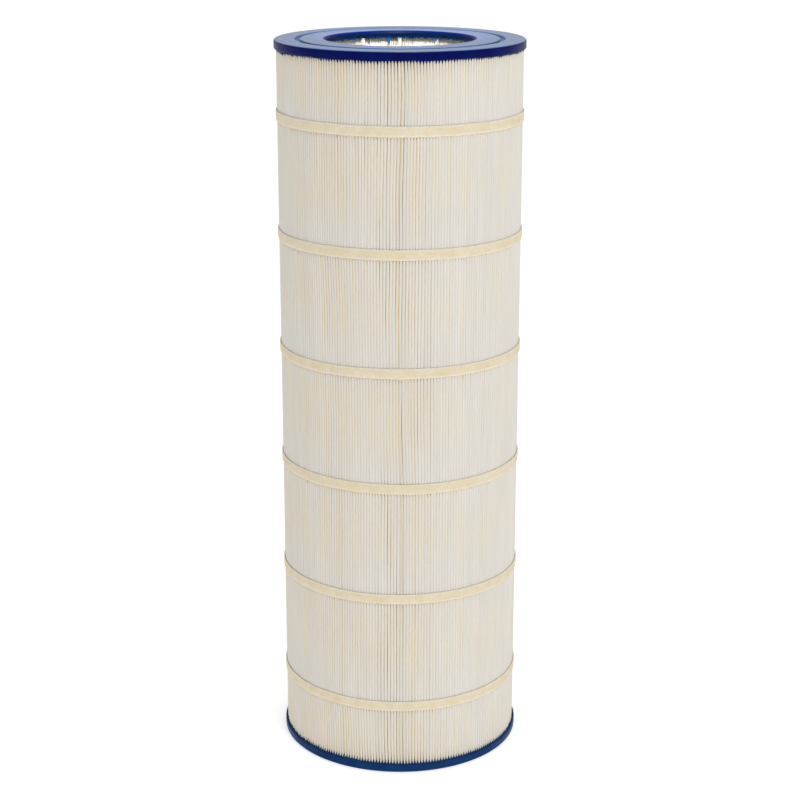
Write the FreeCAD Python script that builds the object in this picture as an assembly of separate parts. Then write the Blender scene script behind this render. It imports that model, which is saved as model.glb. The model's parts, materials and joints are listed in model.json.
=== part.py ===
"""Pleated filter cartridge for a pool or spa filter, open at both ends.

The cartridge stands on its bottom end cap with +Z up its axis. The origin is the centre of the
bottom face. The seam of the pleated sheet faces -Y. All sizes are in millimetres.

Water flows in through the pleats to the core, and out through the bore of an end cap. The ends of
the pleats and of the core stand in a channel in each end cap. The real caps are cast round them, and
fill the gaps between the pleats there too.
"""

import FreeCAD, Part
import os
from math import cos, pi, radians, sin, sqrt

# ---------------------------------------------------------------- driving sizes
OVERALL_HEIGHT = 672.0        # land face to land face
CAP_OUTER_RADIUS = 113.5
BORE_RADIUS = 66.6            # the open hole through each end cap

CAP_DEPTH = 8.0               # land face to the lower edge of the cap's skirt
LINING_DEPTH = 5.5            # land face to the lower edge of the wall round the bore
POTTING_DEPTH = 3.6           # how deep the pleats and the core stand in the cap's channel
CHANNEL_CLEARANCE = 0.2       # pleat tips to the channel's outer wall
RIM_STEP = 0.1                # the outer rim lies this far below the land
RIM_WIDTH = 18.9              # outer edge to the groove
GROOVE_WIDTH = 4.6
GROOVE_DEPTH = 2.4            # below the land
BORE_ROUNDING = 2.8           # radius of the land's edge at the bore
RIM_ROUNDING = 1.5            # radius of the cap's outer edge
GROOVE_ROUNDING = 0.5         # radius of the groove's two upper edges

PLEAT_COUNT = 250
SHEET_THICKNESS = 0.5
TIP_INSET = 2.0               # pleat tips lie this far inside the cap's outer radius
FOLD_CLEARANCE = 0.3          # inner folds to the core
SEAM_GAP = 0.3                # between the sheet's two ends, filled by the seam's glue
SEAM_GLUE_INSET = 5.0         # the seam's glue stops this far below the pleat tips
SEAM_ANGLE = -90.0            # degrees about +Z from +X

STRAP_COUNT = 6
STRAP_WIDTH = 9.5
STRAP_THICKNESS = 0.7
STRAP_END_DISTANCE = 67.6     # an end face to the middle of the nearest strap
STRAP_LAP_LENGTH = 28.0       # how far a strap's end lies over its start
STRAP_RAMP_LENGTH = 6.0       # the strap climbs on to its own start over this length
STRAP_LAP_ANGLE = 78.0        # degrees about +Z, where the lowest strap starts
STRAP_LAP_STEP = 9.0          # each strap's lap is turned this much from the one below
STRAP_GLUE_THICKNESS = 0.3
STRAP_GLUE_WIDTH = 7.0

CORE_WALL = 2.5
CORE_LIP = 0.9                # end cap material that lines the core's ends
CORE_SECTION_COUNT = 5
CORE_COLUMN_COUNT = 12        # windows round the core
CORE_ROW_COUNT = 6            # windows up one section
CORE_RIB_WIDTH = 3.0
CORE_RING_HEIGHT = 3.0        # solid ring between two rows of windows
CORE_COLLAR_HEIGHT = 8.0      # solid collar at each end of a section
CORE_END_MARGIN = 0.3         # core left solid past the end cap's wall round the bore
CORE_WINDOW_ROUNDING = 1.6
SPIGOT_LENGTH = 5.0
SPIGOT_WALL = 1.2
SPIGOT_CLEARANCE = 0.05       # radial, spigot to socket
SPIGOT_END_GAP = 0.4          # spigot's tip to the floor of its socket

# ---------------------------------------------------------------- what follows from them
V = FreeCAD.Vector
Z_AXIS = V(0, 0, 1)
ORIGIN = V(0, 0, 0)

TIP_SURFACE_RADIUS = CAP_OUTER_RADIUS - TIP_INSET
CORE_INNER_RADIUS = BORE_RADIUS + CORE_LIP
CORE_OUTER_RADIUS = CORE_INNER_RADIUS + CORE_WALL
FOLD_SURFACE_RADIUS = CORE_OUTER_RADIUS + FOLD_CLEARANCE
PLEAT_STEP = 2 * pi / PLEAT_COUNT

PACK_BOTTOM = CAP_DEPTH - POTTING_DEPTH
PACK_TOP = OVERALL_HEIGHT - PACK_BOTTOM
PACK_HEIGHT = PACK_TOP - PACK_BOTTOM

STRAP_INNER_RADIUS = TIP_SURFACE_RADIUS + STRAP_GLUE_THICKNESS
STRAP_SPACING = (OVERALL_HEIGHT - 2 * STRAP_END_DISTANCE) / (STRAP_COUNT - 1)

SECTION_HEIGHT = PACK_HEIGHT / CORE_SECTION_COUNT


def polar(radius, angle, z=0.0):
    """A point at this radius, in millimetres, and angle about +Z, in radians."""
    return V(radius * cos(angle), radius * sin(angle), z)


def circle_wire(radius):
    return Part.Wire([Part.makeCircle(radius)])


def face_between(outer, inner):
    """The flat face between two wires that both run anticlockwise."""
    hole = inner.copy()
    hole.reverse()
    return Part.Face([outer, hole])


def ring(inner, outer, bottom, height):
    """A plain ring about the axis."""
    face = face_between(circle_wire(outer), circle_wire(inner))
    face.translate(V(0, 0, bottom))
    return face.extrude(V(0, 0, height))


def line(a, b):
    return Part.makeLine(a, b)


def arc(a, middle, b):
    return Part.Arc(a, middle, b).toShape()


# ---------------------------------------------------------------- the pleated sheet
def beside(radius, angle, offset):
    """A point at this radius and angle, moved sideways by this much, anticlockwise if positive."""
    return polar(radius, angle) + polar(offset, angle + pi / 2)


def tip_angle(index):
    return radians(SEAM_ANGLE) + (index + 0.5) * PLEAT_STEP


def fold_angle(index):
    return radians(SEAM_ANGLE) + index * PLEAT_STEP


def outer_path():
    """The corners of the sheet's outer face, from its start at the seam to its end there.

    The sheet is creased flat, so a tip is two thicknesses wide and each valley is sharp. A tip's
    two corners lie on the tip surface.
    """
    tip = sqrt(TIP_SURFACE_RADIUS**2 - SHEET_THICKNESS**2)
    valley = FOLD_SURFACE_RADIUS + SHEET_THICKNESS
    corners = [beside(FOLD_SURFACE_RADIUS, fold_angle(0), SEAM_GAP / 2)]
    for index in range(PLEAT_COUNT):
        for side in (-1, 1):
            corners.append(beside(tip, tip_angle(index), side * SHEET_THICKNESS))
        if index + 1 < PLEAT_COUNT:
            corners.append(polar(valley, fold_angle(index + 1)))
    corners.append(beside(FOLD_SURFACE_RADIUS, fold_angle(0), -SEAM_GAP / 2))
    return corners


def inner_path():
    """The corners of the sheet's inner face, in the same direction, with flat folds and sharp tips."""
    inside_tip = TIP_SURFACE_RADIUS - SHEET_THICKNESS
    end = SEAM_GAP / 2 + SHEET_THICKNESS
    corners = [beside(FOLD_SURFACE_RADIUS, fold_angle(0), end)]
    for index in range(PLEAT_COUNT):
        corners.append(polar(inside_tip, tip_angle(index)))
        if index + 1 < PLEAT_COUNT:
            for side in (-1, 1):
                angle = fold_angle(index + 1)
                corners.append(beside(FOLD_SURFACE_RADIUS, angle, side * SHEET_THICKNESS))
    corners.append(beside(FOLD_SURFACE_RADIUS, fold_angle(0), -end))
    return corners


def standing(corners):
    """A prism on these corners, as tall as the pack of pleats."""
    face = Part.Face(Part.makePolygon(corners + corners[:1]))
    face.translate(V(0, 0, PACK_BOTTOM))
    return face.extrude(V(0, 0, PACK_HEIGHT))


def pleated_media():
    """The filter fabric: one strip, folded into a ring of pleats with its two ends at the seam."""
    return standing(outer_path() + inner_path()[::-1])


def seam_glue():
    """The glue between the sheet's two end flanks, from the core side to just below the tips."""
    corners = outer_path()
    reach = TIP_SURFACE_RADIUS - SEAM_GLUE_INSET - FOLD_SURFACE_RADIUS
    share = reach / (TIP_SURFACE_RADIUS - FOLD_SURFACE_RADIUS)
    first, first_tip, last_tip, last = corners[0], corners[1], corners[-2], corners[-1]
    return standing(
        [first, first + (first_tip - first) * share, last + (last_tip - last) * share, last]
    )


# ---------------------------------------------------------------- end caps
def at(radius, depth):
    """A point of the top cap's section, at this radius and this far below the land face."""
    return V(radius, 0, -depth)


def rounded(centre, rounding, start, end):
    """A rounded edge of the section between two directions in degrees, where 90 is out of the face."""
    start_point, middle_point, end_point = (
        centre + V(rounding * cos(radians(a)), 0, rounding * sin(radians(a)))
        for a in (start, (start + end) / 2, end)
    )
    return arc(start_point, middle_point, end_point)


def cap_section():
    """The top cap's section as one closed face, with the channel for the pack's end underneath."""
    groove_outer = CAP_OUTER_RADIUS - RIM_WIDTH
    groove_inner = groove_outer - GROOVE_WIDTH
    channel_outer = TIP_SURFACE_RADIUS + CHANNEL_CLEARANCE
    floor = CAP_DEPTH - POTTING_DEPTH
    bore_edge = rounded(at(BORE_RADIUS + BORE_ROUNDING, BORE_ROUNDING), BORE_ROUNDING, 180, 90)
    land_edge = rounded(at(groove_inner - GROOVE_ROUNDING, GROOVE_ROUNDING), GROOVE_ROUNDING, 90, 0)
    rim_start = at(groove_outer + GROOVE_ROUNDING, RIM_STEP + GROOVE_ROUNDING)
    groove_edge = rounded(rim_start, GROOVE_ROUNDING, 180, 90)
    rim_end = at(CAP_OUTER_RADIUS - RIM_ROUNDING, RIM_STEP + RIM_ROUNDING)
    rim_edge = rounded(rim_end, RIM_ROUNDING, 90, 0)
    between_curves = [
        [],
        [at(groove_inner, GROOVE_DEPTH), at(groove_outer, GROOVE_DEPTH)],
        [],
        [
            at(CAP_OUTER_RADIUS, CAP_DEPTH),
            at(channel_outer, CAP_DEPTH),
            at(channel_outer, floor),
            at(CORE_INNER_RADIUS, floor),
            at(CORE_INNER_RADIUS, LINING_DEPTH),
            at(BORE_RADIUS, LINING_DEPTH),
        ],
    ]
    curves = [bore_edge, land_edge, groove_edge, rim_edge]
    edges = []
    for index, corners in enumerate(between_curves):
        here, following = curves[index], curves[(index + 1) % len(curves)]
        stops = [here.valueAt(here.LastParameter)] + corners
        stops.append(following.valueAt(following.FirstParameter))
        edges.append(here)
        edges += [line(a, b) for a, b in zip(stops, stops[1:])]
    return Part.Face(Part.Wire(edges))


def end_cap(at_top):
    """An end cap: the section turned about the axis, and turned over for the bottom one."""
    cap = cap_section().revolve(ORIGIN, Z_AXIS, 360)
    if at_top:
        cap.translate(V(0, 0, OVERALL_HEIGHT))
        return cap
    return cap.mirror(ORIGIN, Z_AXIS)


# ---------------------------------------------------------------- straps
def strap_middle(index):
    return STRAP_END_DISTANCE + index * STRAP_SPACING


def strap(index):
    """A strap round the pleat tips, with its end lapped over its start."""
    inner = STRAP_INNER_RADIUS
    middle = inner + STRAP_THICKNESS
    outer = middle + STRAP_THICKNESS
    lap = STRAP_LAP_LENGTH / middle
    ramp = STRAP_RAMP_LENGTH / middle

    def round_arc(radius, start, end):
        return arc(
            polar(radius, start), polar(radius, (start + end) / 2), polar(radius, end)
        )

    outside = Part.Wire(
        [
            round_arc(outer, 0, lap),
            line(polar(outer, lap), polar(middle, lap)),
            round_arc(middle, lap, 2 * pi - ramp),
            line(polar(middle, -ramp), polar(outer, 0)),
        ]
    )
    inside = Part.Wire(
        [
            round_arc(inner, 0, 2 * pi - ramp),
            line(polar(inner, -ramp), polar(middle, 0)),
            line(polar(middle, 0), polar(inner, 0)),
        ]
    )
    face = face_between(outside, inside)
    face.rotate(ORIGIN, Z_AXIS, STRAP_LAP_ANGLE + index * STRAP_LAP_STEP)
    face.translate(V(0, 0, strap_middle(index) - STRAP_WIDTH / 2))
    return face.extrude(V(0, 0, STRAP_WIDTH))


def strap_glue(index):
    """The ring of hot-melt glue that holds a strap to the pleat tips."""
    return ring(
        TIP_SURFACE_RADIUS,
        STRAP_INNER_RADIUS,
        strap_middle(index) - STRAP_GLUE_WIDTH / 2,
        STRAP_GLUE_WIDTH,
    )


# ---------------------------------------------------------------- core
def window_cutters(bottom, top):
    """Radial bars with rounded corners, one for each window between two heights."""
    free_height = top - bottom - (CORE_ROW_COUNT - 1) * CORE_RING_HEIGHT
    height = free_height / CORE_ROW_COUNT
    width = 2 * pi * CORE_INNER_RADIUS / CORE_COLUMN_COUNT - CORE_RIB_WIDTH
    reach = CORE_OUTER_RADIUS + CORE_WALL
    bar = Part.makeBox(
        reach - CORE_INNER_RADIUS + CORE_WALL,
        width,
        height,
        V(CORE_INNER_RADIUS - CORE_WALL, -width / 2, 0),
    )
    along = [e for e in bar.Edges if abs(e.tangentAt(e.FirstParameter).x) > 0.9]
    bar = bar.makeFillet(CORE_WINDOW_ROUNDING, along)
    bars = []
    for row in range(CORE_ROW_COUNT):
        for column in range(CORE_COLUMN_COUNT):
            one = bar.copy()
            one.translate(V(0, 0, bottom + row * (height + CORE_RING_HEIGHT)))
            one.rotate(ORIGIN, Z_AXIS, (column + 0.5) * 360 / CORE_COLUMN_COUNT)
            bars.append(one)
    return bars


def only_solid(shape):
    """The single solid that a cut has left."""
    if len(shape.Solids) != 1:
        raise ValueError(f"the cut left {len(shape.Solids)} solids")
    return shape.Solids[0]


def core_section(has_socket, has_spigot):
    """One moulded length of the core, standing on z = 0. Its spigot plugs into the next one's socket."""
    end_collar = LINING_DEPTH - PACK_BOTTOM + CORE_END_MARGIN
    first_window = CORE_COLLAR_HEIGHT if has_socket else end_collar
    last_window = SECTION_HEIGHT - (CORE_COLLAR_HEIGHT if has_spigot else end_collar)
    spigot_radius = CORE_INNER_RADIUS + SPIGOT_WALL
    section = ring(CORE_INNER_RADIUS, CORE_OUTER_RADIUS, 0, SECTION_HEIGHT)
    if has_spigot:
        spigot = ring(CORE_INNER_RADIUS, spigot_radius, SECTION_HEIGHT, SPIGOT_LENGTH)
        section = section.fuse(spigot).removeSplitter()
    cutters = window_cutters(first_window, last_window)
    if has_socket:
        socket_radius = spigot_radius + SPIGOT_CLEARANCE
        inside = CORE_INNER_RADIUS - CORE_WALL
        depth = SPIGOT_LENGTH + SPIGOT_END_GAP
        cutters.append(ring(inside, socket_radius, -depth, 2 * depth))
    return only_solid(section.cut(cutters))


def core_sections():
    """Every section of the core, from the bottom. The ones between the end sections are alike."""
    lowest = core_section(False, True)
    between = core_section(True, True)
    highest = core_section(True, False)
    sections = [lowest]
    for index in range(1, CORE_SECTION_COUNT - 1):
        sections.append(between.copy())
    sections.append(highest)
    for index, section in enumerate(sections):
        section.translate(V(0, 0, PACK_BOTTOM + index * SECTION_HEIGHT))
    return sections


# ---------------------------------------------------------------- the assembly
def build():
    """Every node of the cartridge, by name."""
    nodes = {
        "pleated_media": pleated_media(),
        "media_seam_glue": seam_glue(),
        "bottom_end_cap": end_cap(False),
        "top_end_cap": end_cap(True),
    }
    for index in range(STRAP_COUNT):
        nodes[f"strap_{index + 1}"] = strap(index)
        nodes[f"strap_glue_{index + 1}"] = strap_glue(index)
    for index, section in enumerate(core_sections()):
        nodes[f"core_section_{index + 1}"] = section
    return nodes


def main():
    os.makedirs("parts", exist_ok=True)
    for name, shape in build().items():
        if not shape.isValid() or not shape.isClosed() or shape.Volume <= 0:
            raise ValueError(f"{name} isn't a valid closed solid")
        shape.exportStep(f"parts/{name}.step")
        print(f"{name}: {len(shape.Solids)} solid, {shape.Volume / 1000:.2f} cm3")


main()
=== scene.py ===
# %% [markdown]
# # A pleated filter cartridge
# A pool's cartridge filter cleans water by pushing it through a long strip of white fabric. The strip
# is folded into a ring of deep pleats, so that many square metres fit in a tall can. Straps hold the
# pleats' outer tips evenly apart. Both ends of the ring are cast into blue polyurethane, and a stiff
# lattice core keeps the bore open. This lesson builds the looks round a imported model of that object.
#
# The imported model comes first, because every size and place below is read from it.

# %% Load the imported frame
import math

import bpy
import numpy as np
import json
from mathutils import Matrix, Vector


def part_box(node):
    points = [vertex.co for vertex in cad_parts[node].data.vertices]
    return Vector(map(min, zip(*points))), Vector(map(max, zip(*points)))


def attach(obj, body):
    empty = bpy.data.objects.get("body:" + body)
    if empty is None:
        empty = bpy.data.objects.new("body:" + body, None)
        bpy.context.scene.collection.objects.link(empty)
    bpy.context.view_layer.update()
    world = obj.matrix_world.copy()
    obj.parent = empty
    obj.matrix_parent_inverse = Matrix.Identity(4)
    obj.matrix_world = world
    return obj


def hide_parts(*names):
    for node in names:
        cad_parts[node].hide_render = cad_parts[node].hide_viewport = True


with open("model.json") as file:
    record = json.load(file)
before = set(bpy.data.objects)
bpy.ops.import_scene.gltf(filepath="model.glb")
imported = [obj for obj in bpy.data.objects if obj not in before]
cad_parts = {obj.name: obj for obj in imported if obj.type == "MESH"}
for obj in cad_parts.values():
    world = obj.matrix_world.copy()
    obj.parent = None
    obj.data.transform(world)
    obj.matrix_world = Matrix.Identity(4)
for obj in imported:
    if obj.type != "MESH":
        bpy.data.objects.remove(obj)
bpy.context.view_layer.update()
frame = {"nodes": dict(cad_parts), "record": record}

MM = 0.001

# %% [markdown]
# ## Sizes read from the frame
# A box gives a node's two corners. The radii of a round piece are half of its box's widest side, and
# the bore's radius is stated by its mount. The folds lie just outside the core.

# %% Sizes
def low_high(node):
    """A node's two corners, as arrays."""
    low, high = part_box(node)
    return np.array(low), np.array(high)


def radius_of(node):
    """Half of the widest side of a node's box, seen from above."""
    low, high = low_high(node)
    return float((high - low)[:2].max() / 2)


MOUNTS = {mount["name"]: mount for mount in frame["record"]["mounts"]}
TOP = float(low_high("top_end_cap")[1][2])
CAP_RADIUS = radius_of("top_end_cap")
CAP_DEPTH = float(np.ptp([c[2] for c in low_high("top_end_cap")]))
BORE_RADIUS = MOUNTS["through_bore"]["dims"]["r_mm"] * MM
SHEET_LOW, SHEET_HIGH = (float(c[2]) for c in low_high("pleated_media"))
TIP_RADIUS = radius_of("pleated_media")
CORE_RADIUS = radius_of("core_section_2")
FOLD_CLEARANCE = 0.3 * MM
FOLD_RADIUS = CORE_RADIUS + FOLD_CLEARANCE
STRAP_NODES = sorted(n for n in frame["nodes"] if n.startswith("strap_") and "glue" not in n)
CORE_NODES = sorted(n for n in frame["nodes"] if n.startswith("core_section"))
STRAP_SPANS = [(float(low_high(n)[0][2]), float(low_high(n)[1][2])) for n in STRAP_NODES]
STRAP_MIDDLES = [(low + high) / 2 for low, high in STRAP_SPANS]
STRAP_WIDTH = STRAP_SPANS[0][1] - STRAP_SPANS[0][0]

PLEATS = 250
SHEET_THICKNESS = 0.5 * MM
PITCH = 2 * math.pi / PLEATS          # the angle from one pleat to the next
SEAM = -math.pi / 2                   # the strip's two ends meet at the front
print("tip radius", round(TIP_RADIUS, 4), "straps at", [round(z, 3) for z in STRAP_MIDDLES])

# %% [markdown]
# ## Tools for surfaces
# Every new piece is a grid of points: one direction of the grid runs round or along the piece, and the
# other crosses it. Joining neighbouring points makes the faces. A grid that closes on itself both ways
# is a watertight ring, like a bent tube.

# %% Grid to mesh
def grid_faces(rows, columns, close_rows, close_columns):
    """Four corners for each cell of the grid, as point numbers: row * columns + column."""
    r = np.arange(rows if close_rows else rows - 1)
    c = np.arange(columns if close_columns else columns - 1)
    r, c = np.meshgrid(r, c, indexing="ij")
    r_next, c_next = (r + 1) % rows, (c + 1) % columns
    corners = [r * columns + c, r * columns + c_next, r_next * columns + c_next, r_next * columns + c]
    return np.stack([k.ravel() for k in corners], axis=1)


def piece(name, points, faces, extra_faces=()):
    """A smooth-shaded mesh object from an array of points, quads and, if any, other faces."""
    mesh = bpy.data.meshes.new(name)
    polygons = [tuple(f) for f in faces.tolist()] + [tuple(f) for f in extra_faces]
    mesh.from_pydata(points.reshape(-1, 3).tolist(), [], polygons)
    mesh.shade_smooth()
    mesh.update()
    made = bpy.data.objects.new(name, mesh)
    bpy.context.scene.collection.objects.link(made)
    print(name, "points", len(mesh.vertices), "faces", len(mesh.polygons))
    return made


def note(obj, name, values):
    """Stores one number per point, for a material to read."""
    attribute = obj.data.attributes.new(name, "FLOAT", "POINT")
    attribute.data.foreach_set("value", np.ascontiguousarray(values, dtype=np.float32).ravel())


def polar(radius, angle, height):
    """Points at these radii, angles about +Z and heights, each a number or an array."""
    radius, angle, height = np.broadcast_arrays(radius, angle, height)
    return np.stack([radius * np.cos(angle), radius * np.sin(angle), height], axis=-1)


# %% Smooth random values
def wander(count, reach, seed, rows=None):
    """Random values round a ring, blurred over `reach` neighbours, with a spread of 1.

    White noise is taken apart into waves, the short waves are faded out, and it is put together again.
    """
    noise = np.random.default_rng(seed).normal(size=(rows or 1, count))
    waves = np.fft.rfft(noise, axis=1)
    fade = np.exp(-2 * (math.pi * np.arange(waves.shape[1]) * reach / count) ** 2)
    fade[0] = 0
    smooth = np.fft.irfft(waves * fade, count, axis=1)
    smooth = smooth / smooth.std(axis=1, keepdims=True)
    return smooth if rows else smooth[0]


def ease(t):
    """0 to 1 with a flat start and end."""
    t = np.clip(t, 0, 1)
    return t * t * (3 - 2 * t)


def half_turn(angle):
    """The same direction as an angle from -pi to pi."""
    return (angle + math.pi) % (2 * math.pi) - math.pi


# %% [markdown]
# ## Where the pleats lie
# No pleat stands quite upright. Each one is held at the end caps, which set round evenly spread
# pleats, and at the straps, whose glue keeps a tip where it happened to be. Between those heights the
# tips lean into groups, with wider gaps between the groups. That unevenness is most of what makes the
# fabric look like fabric, so it is in the mesh and not in a material.
#
# The sideways shift of each tip is chosen at each held height and half-way between them, then eased
# from one to the next. Tips that would overlap are pushed apart. To the right of the seam the tips are
# a little wider, flatter and more even, as where a sheet has been packed more tightly.

# %% Heights of the rows
def row_heights():
    """Heights up the sheet: close together by the caps, three at each strap, and one between straps."""
    by_cap = np.array([0.0, 4.1, 6.6, 10.5, 17.0, 34.0]) * MM
    rows = list(SHEET_LOW + by_cap) + list(SHEET_HIGH - by_cap)
    for middle in STRAP_MIDDLES:
        rows += [middle - 10 * MM, middle, middle + STRAP_WIDTH / 2]
    rows += [(low + high) / 2 for low, high in zip(STRAP_MIDDLES, STRAP_MIDDLES[1:])]
    return np.array(sorted(rows))


ROWS = row_heights()
FROM_CAP = np.minimum(ROWS - CAP_DEPTH, TOP - CAP_DEPTH - ROWS)   # height clear of the nearer cap


# %% Sideways shifts
def held_levels():
    """Heights where shifts are chosen, with how far tips stray there, from 0 at a cap to 1 when free."""
    ends = [SHEET_LOW] + STRAP_MIDDLES + [SHEET_HIGH]
    levels = [(SHEET_LOW, 0.30)]
    for low, high in zip(ends, ends[1:]):
        levels += [((low + high) / 2, 1.0), (high, 0.62)]
    levels[-1] = (SHEET_HIGH, 0.30)
    return levels


def shifts_up(count, local, group, seed):
    """Sideways shift in metres of each of `count` pleats at each row.

    `local` is the spread of single pleats and `group` that of clusters. Two fifths of each pattern is
    new at every level, and the rest is the same all the way up. A slow drift that is new at each level
    makes whole stretches of pleats lean.
    """
    levels = held_levels()
    heights = np.array([z for z, _ in levels])
    stray = np.array([s for _, s in levels])[:, None]

    def pattern(offset, rows=None):
        single = wander(count, 0.55, seed + offset, rows)
        cluster = wander(count, 5.0, seed + offset + 1, rows)
        return local * single + group * cluster

    lean = LEAN * wander(count, 13.0, seed + 20, len(levels))
    lean[1:-1:2] = (lean[:-2:2] + lean[2::2]) / 2
    shift = stray * (0.75 * pattern(0) + 0.66 * pattern(10, len(levels)) + lean)
    place = np.clip(np.searchsorted(heights, ROWS) - 1, 0, len(levels) - 2)
    t = ease((ROWS - heights[place]) / (heights[place + 1] - heights[place]))[:, None]
    return shift[place] * (1 - t) + shift[place + 1] * t


def push_apart(shift, pitch, least):
    """Neighbours nearer than `least` each move back by half of what is missing, sixty times over."""
    for _ in range(60):
        short = np.maximum(least - (pitch + np.roll(shift, -1, axis=1) - shift), 0) / 2
        shift = shift - short + np.roll(short, 1, axis=1)
    return shift


# %% How wide the tips are, and where they lie
def strap_distance(offset=0.0):
    """Each row's distance from the nearest strap's middle, or from a line `offset` above it."""
    return np.min([abs(ROWS - z - offset) for z in STRAP_MIDDLES], axis=0)


LEAN = 0.85 * MM                      # how far whole stretches of pleats lean
HALF_AT_CAP, HALF_FREE = 0.74 * MM, 1.35 * MM   # half a tip's width by a cap, and away from it
STRAP_PINCH = 0.20 * MM               # a strap's glue draws each half in by this
TIP_GAP, SEAM_GAP = 0.02 * MM, 0.15 * MM        # between two tips, and what the seam's glue adds
LEAST_FOLD_STEP = 1.30 * MM           # from one fold to the next
PACKED_FIRST, PACKED_LAST = 2, 110    # pleats, counted from the seam, between which tips lie tighter

number = np.arange(PLEATS)
packed = ease((number - PACKED_FIRST) / 12) * ease((PACKED_LAST - number) / 30)
freedom = 1 - np.exp(-np.maximum(FROM_CAP, 0) / (5.5 * MM))       # 0 at a cap, 1 well away from it
at_strap = strap_distance() < 1 * MM
at_upper_edge = strap_distance(STRAP_WIDTH / 2) < 1 * MM

half_by_row = HALF_AT_CAP + (HALF_FREE - HALF_AT_CAP) * freedom - STRAP_PINCH * at_strap
TIP_HALF = half_by_row[:, None] + TIP_GAP * freedom[:, None] * packed
roundness = (1.05 - 0.50 * freedom) * (1 - 0.7 * at_upper_edge)   # a tip's depth over half its width
CROWN = roundness[:, None] * (1 - 0.6 * packed) * TIP_HALF

least_step = TIP_HALF + np.roll(TIP_HALF, -1, axis=1) + TIP_GAP
least_step[:, -1] += SEAM_GAP
tip_stray = shifts_up(PLEATS, 0.20 * MM, 0.42 * MM, 11) * (1 - 0.7 * packed)
fold_stray = shifts_up(PLEATS, 0.16 * MM, 0.30 * MM, 51)
TIP_SHIFT = push_apart(tip_stray, PITCH * TIP_RADIUS, least_step)
FOLD_SHIFT = push_apart(fold_stray, PITCH * FOLD_RADIUS, LEAST_FOLD_STEP)
print("rows", len(ROWS), "tip shift up to", round(abs(TIP_SHIFT).max() / MM, 2), "mm")

# %% [markdown]
# ## The pleated sheet
# The strip is one closed shell with two faces half a millimetre apart. Seen from above, its outer face
# goes from the bottom of a valley, over a rounded tip, to the next valley, and its inner face follows
# inside. The round parts that can be seen get the points: the outside of the tips, and the inside of
# the folds, which show through the core. The same plan is worked out for every row at once.

# %% Plan of the sheet
FOLD_ROUND = 0.62 * MM                # radius of the inner face's folds

tip_angle = SEAM + (np.arange(PLEATS) + 0.5) * PITCH + TIP_SHIFT / TIP_RADIUS
fold_shift = np.concatenate([FOLD_SHIFT, FOLD_SHIFT[:, :1]], axis=1)
fold_angle = SEAM + np.arange(PLEATS + 1) * PITCH + fold_shift / FOLD_RADIUS
tip_sink = 0.16 * MM * abs(wander(PLEATS, 0.6, 71, len(ROWS)) * 0.5 + wander(PLEATS, 0.6, 72))
held = np.exp(-(strap_distance() / (12 * MM)) ** 2)[:, None]
tip_top = TIP_RADIUS - tip_sink * (1 - held)
fold_lift = 0.45 * MM * abs(wander(PLEATS, 0.6, 73, len(ROWS)) * 0.4 + wander(PLEATS, 0.6, 74))
fold_lift = np.concatenate([fold_lift, fold_lift[:, :1]], axis=1)


def arch(t, half_width, depth, centre_angle, crown_radius):
    """A point of a rounded end: t from -1 to 1 goes across it on half an ellipse."""
    across = np.sin(t * math.pi / 2) * half_width
    down = (1 - np.cos(t * math.pi / 2)) * depth
    return crown_radius - down, centre_angle + across / crown_radius


def sheet_plan():
    """Radius and angle of the outer and the inner face's points, in order along the strip.

    The outer face has a valley point and five tip points for each pleat. The inner face has two points
    inside each tip and three round each fold.
    """
    rows = len(ROWS)
    outer_r, outer_a = np.empty((2, rows, PLEATS, 6))
    inner_r, inner_a = np.empty((2, rows, PLEATS, 5))
    valley_r = FOLD_RADIUS + fold_lift + FOLD_ROUND
    outer_r[..., 0], outer_a[..., 0] = valley_r[:, :-1], fold_angle[:, :-1]
    for k, t in enumerate((-1, -0.5, 0, 0.5, 1)):
        outer_r[..., k + 1], outer_a[..., k + 1] = arch(t, TIP_HALF, CROWN, tip_angle, tip_top)
    inner_half = TIP_HALF - SHEET_THICKNESS
    for k, side in enumerate((-1, 1)):
        inner_r[..., k] = tip_top - SHEET_THICKNESS - 0.35 * inner_half
        inner_a[..., k] = tip_angle + side * inner_half / TIP_RADIUS
    for k, t in enumerate((-1, 0, 1)):
        across = np.sin(t * math.pi / 2) * FOLD_ROUND
        inner_r[..., k + 2] = valley_r[:, 1:] - (1 - abs(t)) * FOLD_ROUND
        inner_a[..., k + 2] = fold_angle[:, 1:] + across / FOLD_RADIUS
    last = [valley_r[:, -1:], fold_angle[:, -1:]]
    first = [valley_r[:, :1], fold_angle[:, :1] + FOLD_ROUND / FOLD_RADIUS]
    outer = [np.concatenate([f.reshape(rows, -1), e], axis=1) for f, e in zip((outer_r, outer_a), last)]
    inner = [
        np.concatenate([e, f.reshape(rows, -1)[:, :-2]], axis=1)
        for e, f in zip(first, (inner_r, inner_a))
    ]
    return outer, inner


(outer_r, outer_a), (inner_r, inner_a) = sheet_plan()
OUTER, INNER = outer_r.shape[1], inner_r.shape[1]
LOOP = OUTER + INNER
print("points round the strip:", OUTER, "outside and", INNER, "inside")


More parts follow.
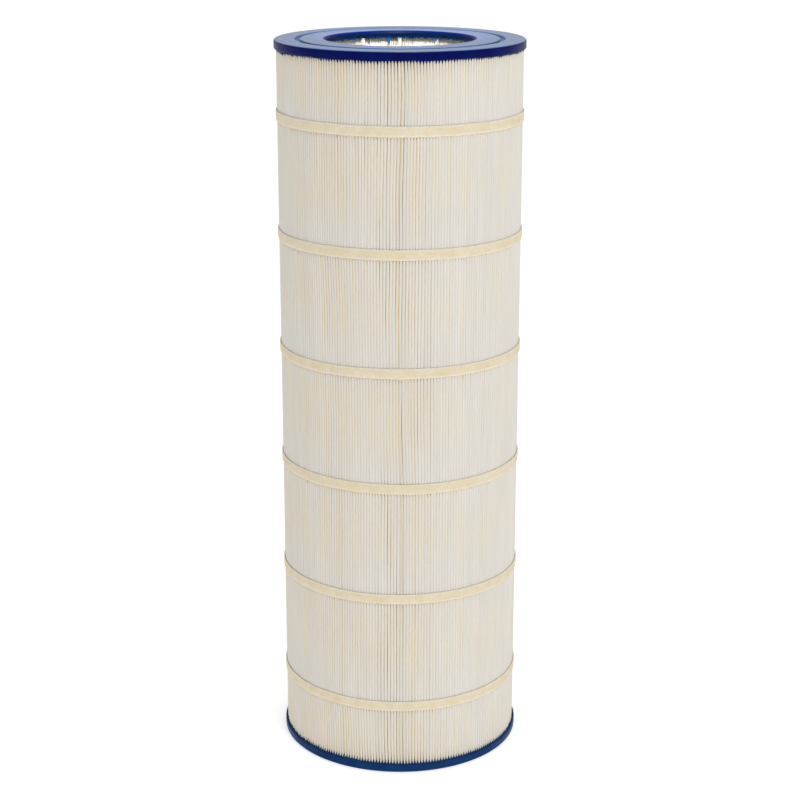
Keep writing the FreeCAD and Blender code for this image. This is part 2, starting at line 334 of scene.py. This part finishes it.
# %% The strip's cut edges
def edge_faces(row, turned):
    """Triangles that close the strip's edge along one row, pleat by pleat.

    For each pleat they join valley and five tip points outside to fold, two tip points and the next
    fold inside. Inner points are counted backwards, because the loop comes back along the inner face.
    """
    base = row * LOOP
    o = 6 * np.arange(PLEATS)
    outside = [base + o + k for k in range(7)]
    inside = [base + LOOP - 1 - (5 * np.arange(PLEATS) + k) for k in range(6)]
    last = base + LOOP - 1 - (INNER - 1)
    fold_bottom, fold_right = [np.maximum(inside[k], last) for k in (4, 5)]
    corners = [
        (outside[0], outside[1], inside[1]), (outside[0], inside[1], inside[0]),
        (outside[1], outside[2], inside[1]), (outside[2], outside[3], inside[1]),
        (outside[3], inside[2], inside[1]), (outside[3], outside[4], inside[2]),
        (outside[4], outside[5], inside[2]), (outside[5], outside[6], inside[3]),
        (outside[5], inside[3], inside[2]), (outside[6], fold_bottom, inside[3]),
        (outside[6], fold_right, fold_bottom),
    ]
    faces = np.stack([np.stack(c, axis=1) for c in corners], axis=1).reshape(-1, 3)
    whole = (faces[:, 0] != faces[:, 1]) & (faces[:, 1] != faces[:, 2]) & (faces[:, 2] != faces[:, 0])
    faces = faces[whole]
    return (faces[:, ::-1] if turned else faces).tolist()


# %% Build the sheet
loop_r = np.concatenate([outer_r, inner_r[:, ::-1]], axis=1)
loop_a = np.concatenate([outer_a, inner_a[:, ::-1]], axis=1)
sheet_points = polar(loop_r, loop_a, ROWS[:, None])
sheet_faces = grid_faces(len(ROWS), LOOP, False, True)
edges = edge_faces(0, True) + edge_faces(len(ROWS) - 1, False)
media = piece("pleated_sheet", sheet_points, sheet_faces, edges)

# %% [markdown]
# ## What the fabric's material will need to know
# Colour follows the fold: the valleys get a painted warm shade, single pleats differ a little in tone,
# and the fabric is yellower where glue has soaked in at the seam. In the valleys just below the straps,
# the glue's colour stands for painted shade and for glue that has run down. Each point of the sheet
# stores these as numbers.

# %% Store tone, depth, and glue stain with painted shade
def per_point(outside, inside):
    """One number per point from one per outer and one per inner point, for every row."""
    return np.concatenate([outside, inside[:, ::-1]], axis=1)


pleat_of_outer = np.minimum(np.arange(OUTER) // 6, PLEATS - 1)
pleat_of_inner = np.minimum((np.arange(INNER) + 2) // 5, PLEATS - 1)
tone = wander(PLEATS, 0.6, 81, len(ROWS)) * 0.45 + wander(PLEATS, 0.6, 82) * 0.8
note(media, "tone", per_point(tone[:, pleat_of_outer], tone[:, pleat_of_inner]))
depth = (TIP_RADIUS - loop_r) / (TIP_RADIUS - FOLD_RADIUS)
note(media, "depth", depth)
from_seam = abs(half_turn(loop_a - fold_angle[:, :1])) * TIP_RADIUS
patchy = 0.75 + 0.25 * wander(len(ROWS), 1.2, 83)[:, None]
seam_stain = 0.50 * np.exp(-(from_seam / (1.1 * MM)) ** 2) * patchy
# Painted shade: the valleys at and just below each strap get the glue's colour, for the strap's shadow
# there as well as glue that has run down.
strap_shade_and_stain = np.repeat(at_strap[:, None], LOOP, axis=1) * np.clip(depth / 0.006, 0, 1) * (depth < 0.3)
note(media, "glue_stain_and_shade", np.maximum(seam_stain, strap_shade_and_stain))

# %% [markdown]
# ## The bead in the seam
# The strip's two ends are closed with hot-melt glue. The bead fills the valley between them and shows
# as a tan line down the front. It is a thin wedge, carried up the valley and wandering with it.

# %% Seam bead
BEAD_STEPS = 121
BEAD_START = 1.3 * MM                 # from the folds' radius to the bead's inner end


def seam_bead():
    """A wedge in plan, wider at its outer end, at each height, following the valley's middle."""
    heights = np.linspace(SHEET_LOW, SHEET_HIGH, BEAD_STEPS)
    lower, upper = tip_angle[:, 0], tip_angle[:, -1] - 2 * math.pi
    outer_middle = np.interp(heights, ROWS, (lower + upper) / 2)
    inner_middle = np.interp(heights, ROWS, fold_angle[:, 0])
    reach = TIP_RADIUS - (0.9 + 0.25 * wander(BEAD_STEPS, 2.0, 91)) * MM
    across = np.array([-0.42, -0.39, -0.36, -0.26, 0.0, 0.26, 0.36, 0.39, 0.42]) * MM
    out = np.array([0.0, 0.5, 0.97, 0.995, 1.0, 0.995, 0.97, 0.5, 0.0])
    radius = FOLD_RADIUS + BEAD_START + out * (reach[:, None] - FOLD_RADIUS - BEAD_START)
    middle = inner_middle[:, None] * (1 - out) + outer_middle[:, None] * out
    width = 1 + 0.12 * wander(BEAD_STEPS, 1.5, 92)[:, None]
    points = polar(radius, middle + across * width / radius, heights[:, None])
    faces = grid_faces(BEAD_STEPS, len(out), False, True)
    ring = np.arange(len(out))
    ends = [tuple(ring[::-1]), tuple(ring + (BEAD_STEPS - 1) * len(out))]
    return piece("seam_bead", points, faces, ends)


bead = seam_bead()

# %% [markdown]
# ## End caps
# A cap is cast: the pleats' ends stand in a ring-shaped mould while liquid polyurethane sets round
# them. Its face copies the mould, so it is a clean turned profile. Its other side is where the liquid
# stood, and it creeps up between the pleats before it sets, so that edge is ragged. The profile is
# carried round in a thousand steps, four to a pleat, and only its lower rings are ragged.

# %% The moulded profile
LINING_DEPTH = 5.5 * MM               # land to the lower edge of the wall round the bore
RIM_STEP, RIM_WIDTH = 0.1 * MM, 18.9 * MM
GROOVE_WIDTH, GROOVE_DEPTH = 4.6 * MM, 2.4 * MM
BORE_ROUNDING, RIM_ROUNDING, EDGE_ROUNDING = 2.8 * MM, 1.5 * MM, 0.55 * MM


def corner(centre_r, centre_d, size, start, end, steps):
    """Points on a rounded edge from one direction to another in degrees, where 90 is out of the face."""
    angle = np.radians(np.linspace(start, end, steps))
    return [(centre_r + size * math.cos(a), centre_d - size * math.sin(a)) for a in angle]


def moulded_profile():
    """Radius and depth below the land, from the bore's skirt over the face to the outer skirt."""
    groove_out = CAP_RADIUS - RIM_WIDTH
    groove_in = groove_out - GROOVE_WIDTH
    bore_round, rim_round, edge = BORE_ROUNDING, RIM_ROUNDING, EDGE_ROUNDING
    points = [(BORE_RADIUS, d * MM) for d in (5.2, 4.4, 3.6)]
    points += corner(BORE_RADIUS + bore_round, bore_round, bore_round, 180, 90, 8)
    points += [(r, 0.0) for r in np.linspace(BORE_RADIUS + 5 * MM, groove_in - 2 * MM, 4)]
    points += corner(groove_in - edge, edge, edge, 90, 0, 4)
    points += corner(groove_in + edge, GROOVE_DEPTH - edge, edge, 180, 270, 4)
    points += corner(groove_out - edge, GROOVE_DEPTH - edge, edge, 270, 360, 4)
    points += corner(groove_out + edge, RIM_STEP + edge, edge, 180, 90, 4)
    points += [(r, RIM_STEP) for r in np.linspace(groove_out + 3 * MM, CAP_RADIUS - 3 * MM, 3)]
    points += corner(CAP_RADIUS - rim_round, RIM_STEP + rim_round, rim_round, 90, 0, 6)
    points += [(CAP_RADIUS, d * MM) for d in (4.0, 5.6, 7.2)]
    return np.array(points)


# %% The ragged side
CAP_COLUMNS = 4 * PLEATS
# Each ring of the ragged side: radius, depth below the land, how much of a tooth it carries, and which
# teeth they are.
SKIRT_RINGS = [
    (CAP_RADIUS - 0.35 * MM, CAP_DEPTH, 0.0, "tips"),
    (TIP_RADIUS + 0.7 * MM, CAP_DEPTH, 0.06, "tips"),
    (TIP_RADIUS - 0.1 * MM, CAP_DEPTH, 0.75, "tips"),
    (TIP_RADIUS - 1.0 * MM, CAP_DEPTH, 1.0, "tips"),
    (TIP_RADIUS - 4.0 * MM, CAP_DEPTH, 0.9, "tips"),
    (TIP_RADIUS - 12.0 * MM, CAP_DEPTH, 0.5, "tips"),
    (FOLD_RADIUS + 12.0 * MM, LINING_DEPTH, 0.4, "folds"),
    (FOLD_RADIUS + 1.5 * MM, LINING_DEPTH - 0.3 * MM, 0.8, "folds"),
    (FOLD_RADIUS - 0.1 * MM, LINING_DEPTH - 0.3 * MM, 0.6, "folds"),
    (CORE_RADIUS - 1.2 * MM, LINING_DEPTH - 0.3 * MM, 0.5, "drips"),
    (BORE_RADIUS + 0.8 * MM, LINING_DEPTH - 0.1 * MM, 0.9, "drips"),
    (BORE_RADIUS + 0.2 * MM, LINING_DEPTH, 1.0, "drips"),
]


def teeth(angle, middles, heights):
    """Height of the teeth at each angle: a peak at each valley's middle, and nothing by the tips."""
    order = np.argsort(middles)
    middles, heights = middles[order], heights[order]
    nearest = np.searchsorted((middles[:-1] + middles[1:]) / 2, angle)
    off = abs(angle - middles[nearest]) / PITCH
    return heights[nearest] * np.clip(1 - off / 0.36, 0, 1)


def drips(angle, seed, long_drip):
    """An uneven hem with a few runs: absolute noise makes soft scallops, and narrow peaks are runs."""
    hem = 0.45 * abs(wander(CAP_COLUMNS, 5.0, seed)) + 0.45 * abs(wander(CAP_COLUMNS, 1.2, seed + 1))
    rng = np.random.default_rng(seed + 2)
    runs = [(a, l, 0.7) for a, l in zip(rng.uniform(-math.pi, math.pi, 14), rng.uniform(1.0, 2.6, 14))]
    for centre, length, width in runs + long_drip:
        off = half_turn(angle - centre) * BORE_RADIUS / (width * MM)
        hem = hem + length * np.exp(-off ** 2)
    return hem * MM


def end_cap(name, at_top, seed, long_drip):
    """The moulded profile and the ragged rings, carried round together into one closed ring."""
    row = -1 if at_top else 0
    angle = SEAM + (np.arange(CAP_COLUMNS) - CAP_COLUMNS / 2 + 0.5) / CAP_COLUMNS * 2 * math.pi
    tips = half_turn(tip_angle[row] - SEAM) + SEAM
    folds = half_turn(fold_angle[row, :-1] - SEAM) + SEAM
    rng = np.random.default_rng(seed)
    sets = {
        "tips": teeth(angle, np.sort(tips) + PITCH / 2, rng.uniform(1.4, 4.0, PLEATS) * MM),
        "folds": teeth(angle, np.sort(folds) + PITCH / 2, rng.uniform(0.4, 2.2, PLEATS) * MM),
        "drips": drips(angle, seed + 5, long_drip),
    }
    wave = 0.18 * MM * wander(CAP_COLUMNS, 8.0, seed + 3)
    moulded, flat = moulded_profile(), np.zeros(CAP_COLUMNS)
    radii = np.array([r + flat for r in list(moulded[:, 0]) + [ring[0] for ring in SKIRT_RINGS]])
    depths = [d + flat for d in moulded[:, 1]]
    depths += [level + wave + share * sets[kind] for _, level, share, kind in SKIRT_RINGS]
    depths = np.array(depths)
    depths[0] = LINING_DEPTH - 0.4 * MM + 0.9 * sets["drips"]
    reach = (depths[0] - depths[3]) / 3
    depths[1], depths[2] = depths[0] - reach, depths[0] - 2 * reach
    height = TOP - depths if at_top else depths
    faces = grid_faces(len(radii), CAP_COLUMNS, True, True)
    cap = piece(name, polar(radii, angle, height), faces[:, ::-1] if at_top else faces)
    level = np.where(radii > FOLD_RADIUS + 6 * MM, CAP_DEPTH + 2 * MM, LINING_DEPTH)
    note(cap, "thin", np.clip((depths - level) / (2.4 * MM), 0, 1))
    on_face = (depths < GROOVE_DEPTH + 0.2 * MM) & (radii < CAP_RADIUS - 0.3 * MM)
    # Marks the moulded face, which the material makes smoother and paints paler as a reflection.
    note(cap, "face", on_face & (radii > BORE_RADIUS + 2.4 * MM))
    in_bore = (depths > 1.2 * MM) & (depths < LINING_DEPTH) & (radii < BORE_RADIUS + 2 * MM)
    # Marks the wall round the bore, where the material paints shade.
    note(cap, "painted_bore_shade", in_bore)
    return cap


top_cap = end_cap("top_cap", True, 101, [(math.radians(99), 5.6, 0.85), (math.radians(60), 2.6, 1.0)])
bottom_cap = end_cap("bottom_cap", False, 131, [(math.radians(-40), 4.5, 0.9)])

# %% [markdown]
# ## Straps and their glue
# A strap is wound once round the tips, pulled tight over hot glue, and lapped over its own start. Its
# section is carried along that path. Between tips it sags very slightly, so its face shows the pleats
# under it. The glue is squeezed out into the valleys along both edges.

# %% Strap
STRAP_THICKNESS, STRAP_GLUE = 0.7 * MM, 0.3 * MM
STRAP_STEPS = 3 * PLEATS
STRAP_RADIUS = 112.5 * MM             # turns a length along a strap into an angle
LAP_ANGLE, RAMP_ANGLE = 28.0 * MM / STRAP_RADIUS, 7.0 * MM / STRAP_RADIUS
LAP_START, LAP_STEP = math.radians(78), math.radians(9)
FULL_TURN = np.linspace(0, 2 * math.pi, 361)


def strap_path(index):
    """Angle, extra radius and height along a strap, from its hidden start to its free end.

    The extra radius eases in over the ramp that climbs on to the strap's own start. The sag between
    tips is a cosine of the place between one tip and the next.
    """
    steps = int(STRAP_STEPS * (1 + LAP_ANGLE / (2 * math.pi)))
    run = np.linspace(0, 2 * math.pi + LAP_ANGLE, steps)
    angle = LAP_START + index * LAP_STEP + run
    row = int(np.argmin(abs(ROWS - STRAP_MIDDLES[index])))
    tips = tip_angle[row]
    from_first = (angle - tips[0]) % (2 * math.pi)
    between = np.interp(from_first, tips - tips[0], np.arange(PLEATS))
    sag = 0.09 * MM * (1 - np.cos(2 * math.pi * between)) / 2
    climb = ease((run - 2 * math.pi + RAMP_ANGLE) / RAMP_ANGLE) * STRAP_THICKNESS
    return run, angle, climb - sag, STRAP_MIDDLES[index] + height_stray(index, angle)


def height_stray(index, angle):
    """How far a strap strays up or down at each angle, in metres."""
    noise = 0.20 * wander(360, 30.0, 200 + index) + 0.07 * wander(360, 4.0, 220 + index)
    return np.interp(angle % (2 * math.pi), FULL_TURN, np.append(noise, noise[0]) * MM)


def strap(index):
    """A flat section with soft edges, carried along the strap's path and closed at both ends."""
    run, angle, extra, middle = strap_path(index)
    half, t = STRAP_WIDTH / 2, STRAP_THICKNESS
    across = np.array([-0.93, -1.0, -0.96, -0.8, -0.45, 0, 0.45, 0.8, 0.96, 1.0, 0.93, 0.3, -0.3]) * half
    out = np.array([0.02, 0.35, 0.8, 1.0, 1.07, 1.10, 1.07, 1.0, 0.8, 0.35, 0.02, 0.0, 0.0]) * t
    fray = 1 + 0.016 * wander(len(run), 1.0, 240 + index)[:, None]
    radius = TIP_RADIUS + STRAP_GLUE + out + extra[:, None]
    points = polar(radius, angle[:, None], middle[:, None] + across * fray)
    faces = grid_faces(len(run), len(out), False, True)[:, ::-1]
    ring = np.arange(len(out))
    ends = [tuple(ring), tuple((ring + (len(run) - 1) * len(out))[::-1])]
    made = piece(f"tension_strap_{index + 1}", points, faces, ends)
    note(made, "along", np.repeat(run * TIP_RADIUS, len(out)))
    note(made, "across", np.tile(across / half, len(run)))
    return made


straps = [strap(index) for index in range(len(STRAP_NODES))]


# %% Squeezed-out glue
def glue_ring(index):
    """A flattened ring under a strap that bulges up and down into each valley by its own amount."""
    columns = 4 * PLEATS
    row = int(np.argmin(abs(ROWS - STRAP_MIDDLES[index])))
    angle = SEAM + np.arange(columns) / columns * 2 * math.pi
    valleys = np.sort((tip_angle[row] - SEAM) % (2 * math.pi) + SEAM + PITCH / 2)
    rng = np.random.default_rng(300 + index)
    upper = 4.3 * MM + teeth(angle, valleys, rng.gamma(2.0, 0.20, PLEATS) * MM)
    lower = 4.3 * MM + teeth(angle, valleys, rng.gamma(3.0, 0.70, PLEATS) * MM)
    turn = np.radians([0, 40, 90, 140, 180, 220, 270, 320])
    out, up = np.cos(turn), np.sin(turn)
    reach = np.where(up > 0, upper[:, None], lower[:, None])
    radius = TIP_RADIUS - 0.25 * MM + 0.62 * MM * out
    height = STRAP_MIDDLES[index] + height_stray(index, angle)[:, None] + up * reach
    points = polar(radius[None, :], angle[:, None], height)
    faces = grid_faces(columns, len(turn), True, True)[:, ::-1]
    return piece(f"strap_adhesive_{index + 1}", points, faces)


glue_rings = [glue_ring(index) for index in range(len(STRAP_NODES))]

# %% [markdown]
# ## Materials
# A material is a small network of nodes. Each of these starts from one colour, then adds what the real
# finish shows: fibres in the fabric, weave in the straps, a skin on the moulded parts. Some light and
# shade is painted into the colours as well: warm shade in the fabric's valleys and below the straps, a
# paler reflecting face and a shaded bore wall on the caps, and a paler bottom cap lit by the floor.

# %% Helpers for node networks
def new_material(name, colour, roughness):
    """A material with its shader ready, and the network's node and link makers."""
    material = bpy.data.materials.new(name)
    material.use_nodes = True
    tree = material.node_tree
    shader = tree.nodes["Principled BSDF"]
    shader.inputs["Base Color"].default_value = (*colour, 1)
    shader.inputs["Roughness"].default_value = roughness
    material.diffuse_color = (*colour, 1)
    return material, tree, shader


def stored(tree, name):
    """A number that the piece stores at each point."""
    node = tree.nodes.new("ShaderNodeAttribute")
    node.attribute_name = name
    return node.outputs["Fac"]


def noise_at(tree, scale, stretch=(1, 1, 1), detail=3.0):
    """Noise in object space, stretched along the axes: a scale of 1000 is a millimetre's grain."""
    coordinates = tree.nodes.new("ShaderNodeTexCoord")
    mapping = tree.nodes.new("ShaderNodeMapping")
    mapping.inputs["Scale"].default_value = stretch
    noise = tree.nodes.new("ShaderNodeTexNoise")
    noise.inputs["Scale"].default_value = scale
    noise.inputs["Detail"].default_value = detail
    tree.links.new(coordinates.outputs["Object"], mapping.inputs["Vector"])
    tree.links.new(mapping.outputs["Vector"], noise.inputs["Vector"])
    return noise.outputs["Fac"]


def math_node(tree, operation, a, b):
    """a and b are outputs or plain numbers."""
    node = tree.nodes.new("ShaderNodeMath")
    node.operation = operation
    for socket, value in zip(node.inputs, (a, b)):
        if isinstance(value, (int, float)):
            socket.default_value = value
        else:
            tree.links.new(value, socket)
    return node.outputs["Value"]


def spread(tree, value, low, high, to_low=0.0, to_high=1.0):
    """Moves a value from one range to another, and keeps it inside."""
    node = tree.nodes.new("ShaderNodeMapRange")
    for name, number in zip(("From Min", "From Max", "To Min", "To Max"), (low, high, to_low, to_high)):
        node.inputs[name].default_value = number
    tree.links.new(value, node.inputs["Value"])
    return node.outputs["Result"]


def blend_colours(tree, factor, first, second):
    """A mix of two colours, each an output or three numbers."""
    node = tree.nodes.new("ShaderNodeMix")
    node.data_type = "RGBA"
    tree.links.new(factor, node.inputs["Factor"])
    for socket, colour in zip((node.inputs[6], node.inputs[7]), (first, second)):
        if isinstance(colour, tuple):
            socket.default_value = (*colour, 1)
        else:
            tree.links.new(colour, socket)
    return node.outputs[2]


def bump(tree, shader, height, distance, strength=1.0):
    """Makes the shader's surface follow a height."""
    node = tree.nodes.new("ShaderNodeBump")
    node.inputs["Distance"].default_value = distance
    node.inputs["Strength"].default_value = strength
    tree.links.new(height, node.inputs["Height"])
    tree.links.new(node.outputs["Normal"], shader.inputs["Normal"])


def finish_piece(obj, material, slot, *nodes):
    """Gives a piece its material and body, and hides the nodes that it stands for. The slot is not used.
    """
    obj.data.materials.clear()
    obj.data.materials.append(material)
    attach(obj, "root")
    if nodes:
        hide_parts(*nodes)


# %% [markdown]
# ### Fabric
# Spun-bonded polyester is a felt of fine threads, white when new. Light that reaches a valley has
# bounced off fabric many times, which warms it, and that warm shade is painted into the valleys' colour.
# The stain from the seam's glue is stored on the sheet, with painted shade in the valleys below the
# straps.

# %% Filter fabric
def filter_fabric():
    """White felt with streaks along the pleats, painted warm shade in the valleys, and the stains of
    glue with painted shade below the straps.
    """
    material, tree, shader = new_material("filter_fabric", (0.74, 0.73, 0.68), 0.88)
    streaks = spread(tree, noise_at(tree, 260, (1, 1, 0.06)), 0.3, 0.7)
    cloudy = spread(tree, noise_at(tree, 22, (1, 1, 0.5)), 0.3, 0.7)
    plain = blend_colours(tree, streaks, (0.715, 0.695, 0.64), (0.785, 0.77, 0.725))
    warm = blend_colours(tree, math_node(tree, "MULTIPLY", cloudy, 0.5), plain, (0.73, 0.68, 0.59))
    tone = spread(tree, stored(tree, "tone"), -2.2, 2.2, 0.0, 0.42)
    toned = blend_colours(tree, tone, warm, (0.66, 0.64, 0.59))
    depth = stored(tree, "depth")
    # Painted shade: the valleys are tinted a darker warm tan for the light bounced in them; the inner
    # folds are left plain.
    painted_valley_shade = spread(tree, depth, 0.002, 0.020, 0.0, 0.9)
    painted_valley_shade = math_node(tree, "MULTIPLY", painted_valley_shade, spread(tree, depth, 0.80, 0.95, 1.0, 0.0))
    shaded = blend_colours(tree, painted_valley_shade, toned, (0.80, 0.70, 0.50))
    # The glue's colour marks the seam's real stain and, below the straps, painted shade as well as
    # stain.
    stain_and_painted_shade = spread(tree, stored(tree, "glue_stain_and_shade"), 0.1, 1.0, 0.0, 0.8)
    tree.links.new(blend_colours(tree, stain_and_painted_shade, shaded, (0.62, 0.46, 0.25)), shader.inputs["Base Color"])
    shader.inputs["Sheen Weight"].default_value = 0.15
    shader.inputs["Sheen Roughness"].default_value = 0.5
    bump(tree, shader, noise_at(tree, 1400, (1, 1, 0.5), 5.0), 0.00012, 0.5)
    return material


finish_piece(media, filter_fabric(), "filter_fabric", "pleated_media")

# %% [markdown]
# ### Polyurethane
# The caps are a soft cast plastic, dark blue in bulk and a brighter blue where it runs thin. Its skin
# has a satin gloss, so seen at a low angle the face mirrors the pale room; that reflection is also
# painted into the face as a paler blue. The wall round the bore is painted darker as shade, and the
# bottom cap is made a little paler than the top one as painted light from the floor.

# %% Blue polyurethane
def cast_polyurethane(name, dark, light):
    """Blue between two mottled shades, with a painted reflection that makes the moulded face paler,
    painted shade on the bore's wall, and brighter where it runs thin.
    """
    material, tree, shader = new_material(name, (0.001, 0.008, 0.090), 0.30)
    bulk = blend_colours(tree, spread(tree, noise_at(tree, 60), 0.3, 0.7), dark, light)
    face = stored(tree, "face")
    # Painted reflection: the moulded face is made a paler blue, for the pale room mirrored in it.
    skin_with_painted_light = blend_colours(tree, math_node(tree, "MULTIPLY", face, 0.9), bulk, (0.075, 0.140, 0.295))
    # Painted shade: the wall round the bore is made darker, for the shadow inside it.
    skin_with_painted_light = blend_colours(tree, stored(tree, "painted_bore_shade"), skin_with_painted_light, (0.0008, 0.008, 0.034))
    thin = math_node(tree, "MULTIPLY", stored(tree, "thin"), 0.8)
    tree.links.new(blend_colours(tree, thin, skin_with_painted_light, (0.001, 0.14, 0.50)), shader.inputs["Base Color"])
    shader.inputs["Specular IOR Level"].default_value = 0.05
    grain = spread(tree, noise_at(tree, 150), 0.3, 0.7, 0.32, 0.42)
    rough = math_node(tree, "SUBTRACT", grain, math_node(tree, "MULTIPLY", face, 0.24))
    tree.links.new(rough, shader.inputs["Roughness"])
    bump(tree, shader, noise_at(tree, 420, detail=4.0), 0.00010, 0.35)
    return material


top_blue = cast_polyurethane("cast_polyurethane", (0.0002, 0.002, 0.075), (0.0004, 0.006, 0.098))
# Painted light: the bottom cap's copy of the blue is paler, for the floor's light reflected on it.
bottom_blue_floor_lit = cast_polyurethane("floor_lit_polyurethane", (0.003, 0.026, 0.115), (0.006, 0.042, 0.145))
finish_piece(top_cap, top_blue, "end_cap_polyurethane", "top_end_cap")
finish_piece(bottom_cap, bottom_blue_floor_lit, "end_cap_polyurethane", "bottom_end_cap")

# %% [markdown]
# ### Strap
# The straps are woven tape. Threads run along and across it, so two sets of ridges cross, and glue has
# soaked into the middle while the edges stay pale.

# %% Woven strap
def woven_strap():
    """Tape whose height is one sine across times one along it, with glue soaked into its middle."""
    material, tree, shader = new_material("woven_strap", (0.80, 0.72, 0.54), 0.8)
    along, across = stored(tree, "along"), stored(tree, "across")
    distance_out = math_node(tree, "ABSOLUTE", across, 0.0)
    middle = spread(tree, distance_out, 0.55, 1.0, 1.0, 0.0)
    soaked = math_node(tree, "MULTIPLY", middle, spread(tree, noise_at(tree, 90), 0.25, 0.65, 0.45, 1.0))
    base = blend_colours(tree, soaked, (0.86, 0.81, 0.69), (0.76, 0.655, 0.455))
    patches = math_node(tree, "MULTIPLY", spread(tree, noise_at(tree, 320), 0.35, 0.75), 0.35)
    tree.links.new(blend_colours(tree, patches, base, (0.66, 0.53, 0.31)), shader.inputs["Base Color"])
    warp = math_node(tree, "SINE", math_node(tree, "MULTIPLY", across, 26.0), 0.0)
    weft = math_node(tree, "SINE", math_node(tree, "MULTIPLY", along, 5200.0), 0.0)
    bump(tree, shader, math_node(tree, "MULTIPLY", warp, weft), 0.00010, 0.6)
    return material


strap_material = woven_strap()
for index, made in enumerate(straps):
    finish_piece(made, strap_material, "strap", STRAP_NODES[index])

# %% [markdown]
# ### Hot-melt glue
# The glue is a clear amber wax: smooth, glossy, and a little darker where it is thick.

# %% Hot-melt glue
def hot_melt_glue():
    """Amber wax, clouded, with a faint ripple."""
    material, tree, shader = new_material("hot_melt_glue", (0.66, 0.47, 0.22), 0.3)
    cloudy = spread(tree, noise_at(tree, 180), 0.3, 0.7)
    colour = blend_colours(tree, cloudy, (0.60, 0.41, 0.18), (0.76, 0.60, 0.34))
    tree.links.new(colour, shader.inputs["Base Color"])
    bump(tree, shader, noise_at(tree, 700), 0.00015, 0.4)
    return material


glue_material = hot_melt_glue()
finish_piece(bead, glue_material, "hot_melt_glue", "media_seam_glue")
for index, made in enumerate(glue_rings):
    finish_piece(made, glue_material, "hot_melt_glue", f"strap_glue_{index + 1}")

# %% [markdown]
# ### Moulded core
# The core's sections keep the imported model's shape, and get the material of moulded plastic in a muted
# grey-beige: a fine grain from the tool, with a slight sheen.

# %% Core plastic
def core_plastic():
    """Grey-beige, faintly clouded, with a fine grain."""
    material, tree, shader = new_material("core_plastic", (0.46, 0.45, 0.40), 0.5)
    cloudy = spread(tree, noise_at(tree, 40), 0.3, 0.7)
    colour = blend_colours(tree, cloudy, (0.42, 0.41, 0.365), (0.48, 0.47, 0.42))
    tree.links.new(colour, shader.inputs["Base Color"])
    rough = spread(tree, noise_at(tree, 300), 0.3, 0.7, 0.42, 0.58)
    tree.links.new(rough, shader.inputs["Roughness"])
    bump(tree, shader, noise_at(tree, 900), 0.00008, 0.3)
    return material


core_material = core_plastic()
for name in CORE_NODES:
    node = frame["nodes"][name]
    node.data.materials.clear()
    node.data.materials.append(core_material)
print("core sections finished:", len(CORE_NODES))

# %% [markdown]

# %% [markdown]
# ## Floor, light and camera
# A wide pale floor under a white sky gives soft light with almost no shadow, as in a light tent. One
# large lamp from the front right shapes the cylinder. A small one overhead lights the cap's face, and
# three narrow spots reach the far side of the bore. The camera stands back and looks slightly down.

# %% Floor
def pale_floor():
    """A very large disc at the cartridge's foot, worked out as rings of points."""
    rings = np.array([0.0, 0.5, 2.0, 8.0, 60.0])
    angle = np.linspace(0, 2 * math.pi, 96, endpoint=False)
    points = polar(rings[1:, None], angle, -0.0002)
    faces = grid_faces(len(rings) - 1, len(angle), False, True)[:, ::-1]
    middle = [tuple(range(len(angle)))]
    floor = piece("floor", points, faces, middle)
    material, tree, shader = new_material("floor_white", (0.90, 0.90, 0.90), 0.9)
    shader.inputs["Emission Color"].default_value = (1, 1, 1, 1)
    shader.inputs["Emission Strength"].default_value = 0.50
    floor.data.materials.append(material)


pale_floor()


# %% Light
def aim(obj, target):
    """Turns an object so that its -Z axis points at the target."""
    direction = np.array(target) - np.array(obj.location)
    flat = math.hypot(direction[0], direction[1])
    obj.rotation_euler = (math.atan2(flat, -direction[2]), 0, math.atan2(-direction[0], direction[1]))


def place_lamp(light, place, target):
    """Hangs a light at a place, pointed at the target and not itself in view."""
    lamp = bpy.data.objects.new(light.name, light)
    lamp.location = place
    lamp.visible_camera = False
    bpy.context.scene.collection.objects.link(lamp)
    aim(lamp, target)


def area_light(name, place, target, size, power, colour):
    """A round soft lamp: its size in metres, its power in watts."""
    light = bpy.data.lights.new(name, "AREA")
    light.shape, light.size, light.energy, light.color = "DISK", size, power, colour
    place_lamp(light, place, target)


def spot_light(name, place, target, power, cone):
    """A narrow lamp: its power in watts, its cone in degrees."""
    light = bpy.data.lights.new(name, "SPOT")
    light.energy, light.spot_size, light.spot_blend = power, math.radians(cone), 0.6
    light.shadow_soft_size = 0.03
    place_lamp(light, place, target)


world = bpy.data.worlds.new("studio")
world.use_nodes = True
world.node_tree.nodes["Background"].inputs["Color"].default_value = (1, 1, 1, 1)
world.node_tree.nodes["Background"].inputs["Strength"].default_value = 0.59
bpy.context.scene.world = world
area_light("key", (1.1, -1.9, 2.1), (0, 0, TOP / 2), 1.2, 16, (1.0, 0.97, 0.93))
area_light("overhead", (0.02, -0.07, TOP + 0.32), (0, 0.05, TOP), 0.10, 1.15, (1, 1, 1))
for side in (-0.04, 0.0, 0.04):
    spot_light("bore", (side / 2, -0.10, TOP + 0.14), (side, BORE_RADIUS, TOP - 0.055), 4.5, 22)
bpy.context.scene.view_settings.view_transform = "Standard"

# %% Camera
camera_data = bpy.data.cameras.new("camera")
camera_data.sensor_width = 36
camera_data.lens = 84.1
camera_data.clip_end = 200
camera = bpy.data.objects.new("camera", camera_data)
camera.location = (0, -1.70, TOP + 0.171)
camera.rotation_euler = (math.radians(90 - 16.71), 0, 0)
bpy.context.scene.collection.objects.link(camera)
bpy.context.scene.camera = camera

# %% [markdown]

# %% Last import
import json
